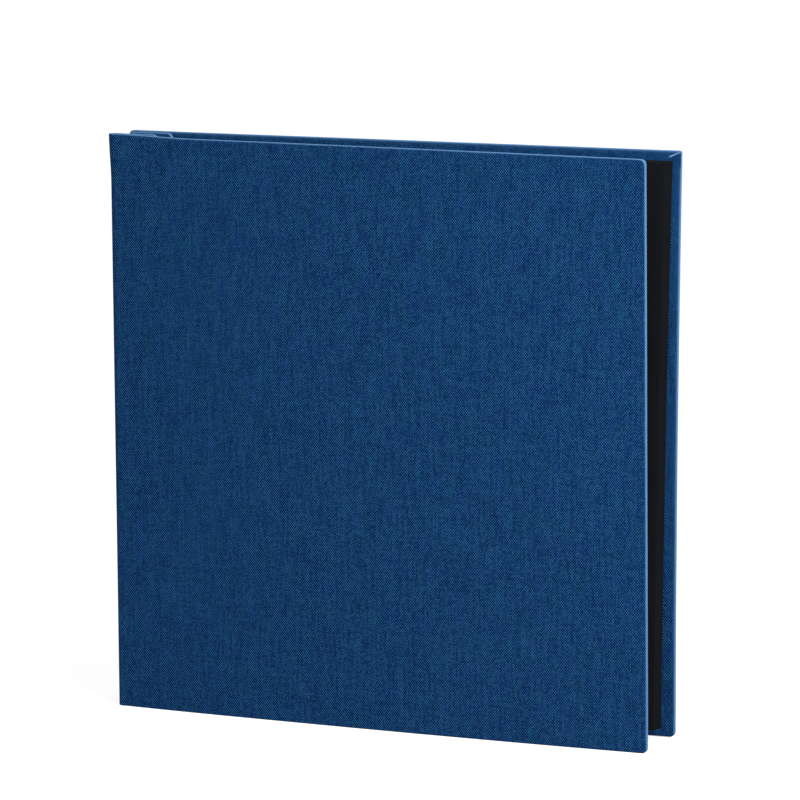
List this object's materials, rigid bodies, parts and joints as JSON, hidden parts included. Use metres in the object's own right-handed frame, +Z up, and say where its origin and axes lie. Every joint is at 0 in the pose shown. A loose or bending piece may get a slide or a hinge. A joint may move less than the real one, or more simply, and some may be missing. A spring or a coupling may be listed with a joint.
{
  "type": "scrapbook album",
  "caption": "Square post-bound scrapbook album in plain blue book cloth, with black card leaves, standing upright with its front cover slightly ajar.",
  "frame": {"origin": "middle of the bounding box, at the height of the surface that the album stands on", "axes": "+X from the spine to the fore edge, +Y from the front cover to the back cover, +Z up"},
  "size_m": [0.3153, 0.05, 0.313],
  "materials": {
    "book_cloth": "plain-woven book cloth, matte, with fine slubs",
    "grey_board": "grey bookbinding board",
    "lining_paper": "matte black paper",
    "leaf_card": "matte black card, dyed through",
    "post_metal": "plain turned aluminium"
  },
  "bodies": {
    "back_cover": {"back_cover_board": "grey_board", "back_cover_cloth": "book_cloth", "back_cover_lining": "lining_paper", "back_joint_cloth": "book_cloth"},
    "binding": {"back_flap_board": "grey_board", "back_flap_cloth": "book_cloth", "back_flap_lining": "lining_paper", "front_flap_board": "grey_board", "front_flap_cloth": "book_cloth", "front_flap_lining": "lining_paper", "post_01": "post_metal", "post_02": "post_metal", "post_03": "post_metal", "post_screw_01": "post_metal", "post_screw_02": "post_metal", "post_screw_03": "post_metal", "leaf_stub_01": "leaf_card", "leaf_stub_02": "leaf_card", "leaf_stub_03": "leaf_card", "leaf_stub_04": "leaf_card", "leaf_stub_05": "leaf_card", "leaf_stub_06": "leaf_card", "leaf_stub_07": "leaf_card", "leaf_stub_08": "leaf_card", "leaf_stub_09": "leaf_card", "leaf_stub_10": "leaf_card", "leaf_stub_11": "leaf_card", "leaf_stub_12": "leaf_card"},
    "front_cover": {"front_cover_board": "grey_board", "front_cover_cloth": "book_cloth", "front_cover_lining": "lining_paper", "front_joint_cloth": "book_cloth"},
    "leaf_01": {"leaf_01": "leaf_card"},
    "leaf_02": {"leaf_02": "leaf_card"},
    "leaf_03": {"leaf_03": "leaf_card"},
    "leaf_04": {"leaf_04": "leaf_card"},
    "leaf_05": {"leaf_05": "leaf_card"},
    "leaf_06": {"leaf_06": "leaf_card"},
    "leaf_07": {"leaf_07": "leaf_card"},
    "leaf_08": {"leaf_08": "leaf_card"},
    "leaf_09": {"leaf_09": "leaf_card"},
    "leaf_10": {"leaf_10": "leaf_card"},
    "leaf_11": {"leaf_11": "leaf_card"},
    "leaf_12": {"leaf_12": "leaf_card"}
  },
  "joints": [
    {"name": "back_cover_hinge", "type": "hinge", "parent": "back_cover", "child": "binding", "pos_m": [-0.15745, 0.02117, 0.1565], "axis": [0, 0, -1], "range_deg": [0, 180], "deforming": ["back_joint_cloth"]},
    {"name": "front_cover_hinge", "type": "hinge", "parent": "binding", "child": "front_cover", "pos_m": [-0.15745, 0.00097, 0.1565], "axis": [0, 0, -1], "range_deg": [-4.03, 175.97], "deforming": ["front_joint_cloth"]},
    {"name": "leaf_01_score", "type": "hinge", "parent": "binding", "child": "leaf_01", "pos_m": [-0.12235, 0.00529, 0.1565], "axis": [0, 0, -1], "range_deg": [-1.57, 68.45]},
    {"name": "leaf_02_score", "type": "hinge", "parent": "binding", "child": "leaf_02", "pos_m": [-0.12235, 0.00634, 0.1565], "axis": [0, 0, -1], "range_deg": [-1.44, 62.75]},
    {"name": "leaf_03_score", "type": "hinge", "parent": "binding", "child": "leaf_03", "pos_m": [-0.12235, 0.00739, 0.1565], "axis": [0, 0, -1], "range_deg": [-1.31, 57.05]},
    {"name": "leaf_04_score", "type": "hinge", "parent": "binding", "child": "leaf_04", "pos_m": [-0.12235, 0.00844, 0.1565], "axis": [0, 0, -1], "range_deg": [-1.18, 51.34]},
    {"name": "leaf_05_score", "type": "hinge", "parent": "binding", "child": "leaf_05", "pos_m": [-0.12235, 0.00949, 0.1565], "axis": [0, 0, -1], "range_deg": [-1.05, 45.64]},
    {"name": "leaf_06_score", "type": "hinge", "parent": "binding", "child": "leaf_06", "pos_m": [-0.12235, 0.01054, 0.1565], "axis": [0, 0, -1], "range_deg": [-0.92, 39.93]},
    {"name": "leaf_07_score", "type": "hinge", "parent": "binding", "child": "leaf_07", "pos_m": [-0.12235, 0.01159, 0.1565], "axis": [0, 0, -1], "range_deg": [-0.79, 34.23]},
    {"name": "leaf_08_score", "type": "hinge", "parent": "binding", "child": "leaf_08", "pos_m": [-0.12235, 0.01264, 0.1565], "axis": [0, 0, -1], "range_deg": [-0.65, 28.52]},
    {"name": "leaf_09_score", "type": "hinge", "parent": "binding", "child": "leaf_09", "pos_m": [-0.12235, 0.01369, 0.1565], "axis": [0, 0, -1], "range_deg": [-0.52, 22.82]},
    {"name": "leaf_10_score", "type": "hinge", "parent": "binding", "child": "leaf_10", "pos_m": [-0.12235, 0.01474, 0.1565], "axis": [0, 0, -1], "range_deg": [-0.39, 17.11]},
    {"name": "leaf_11_score", "type": "hinge", "parent": "binding", "child": "leaf_11", "pos_m": [-0.12235, 0.01579, 0.1565], "axis": [0, 0, -1], "range_deg": [-0.26, 11.41]},
    {"name": "leaf_12_score", "type": "hinge", "parent": "binding", "child": "leaf_12", "pos_m": [-0.12235, 0.01684, 0.1565], "axis": [0, 0, -1], "range_deg": [-0.13, 5.71]}
  ],
  "couplings": [
    {"joint": "leaf_01_score", "follows": "front_cover_hinge", "ratio": 0.389},
    {"joint": "leaf_02_score", "follows": "front_cover_hinge", "ratio": 0.35658},
    {"joint": "leaf_03_score", "follows": "front_cover_hinge", "ratio": 0.32417},
    {"joint": "leaf_04_score", "follows": "front_cover_hinge", "ratio": 0.29175},
    {"joint": "leaf_05_score", "follows": "front_cover_hinge", "ratio": 0.25933},
    {"joint": "leaf_06_score", "follows": "front_cover_hinge", "ratio": 0.22692},
    {"joint": "leaf_07_score", "follows": "front_cover_hinge", "ratio": 0.1945},
    {"joint": "leaf_08_score", "follows": "front_cover_hinge", "ratio": 0.16208},
    {"joint": "leaf_09_score", "follows": "front_cover_hinge", "ratio": 0.12967},
    {"joint": "leaf_10_score", "follows": "front_cover_hinge", "ratio": 0.09725},
    {"joint": "leaf_11_score", "follows": "front_cover_hinge", "ratio": 0.064833},
    {"joint": "leaf_12_score", "follows": "front_cover_hinge", "ratio": 0.032417}
  ]
}
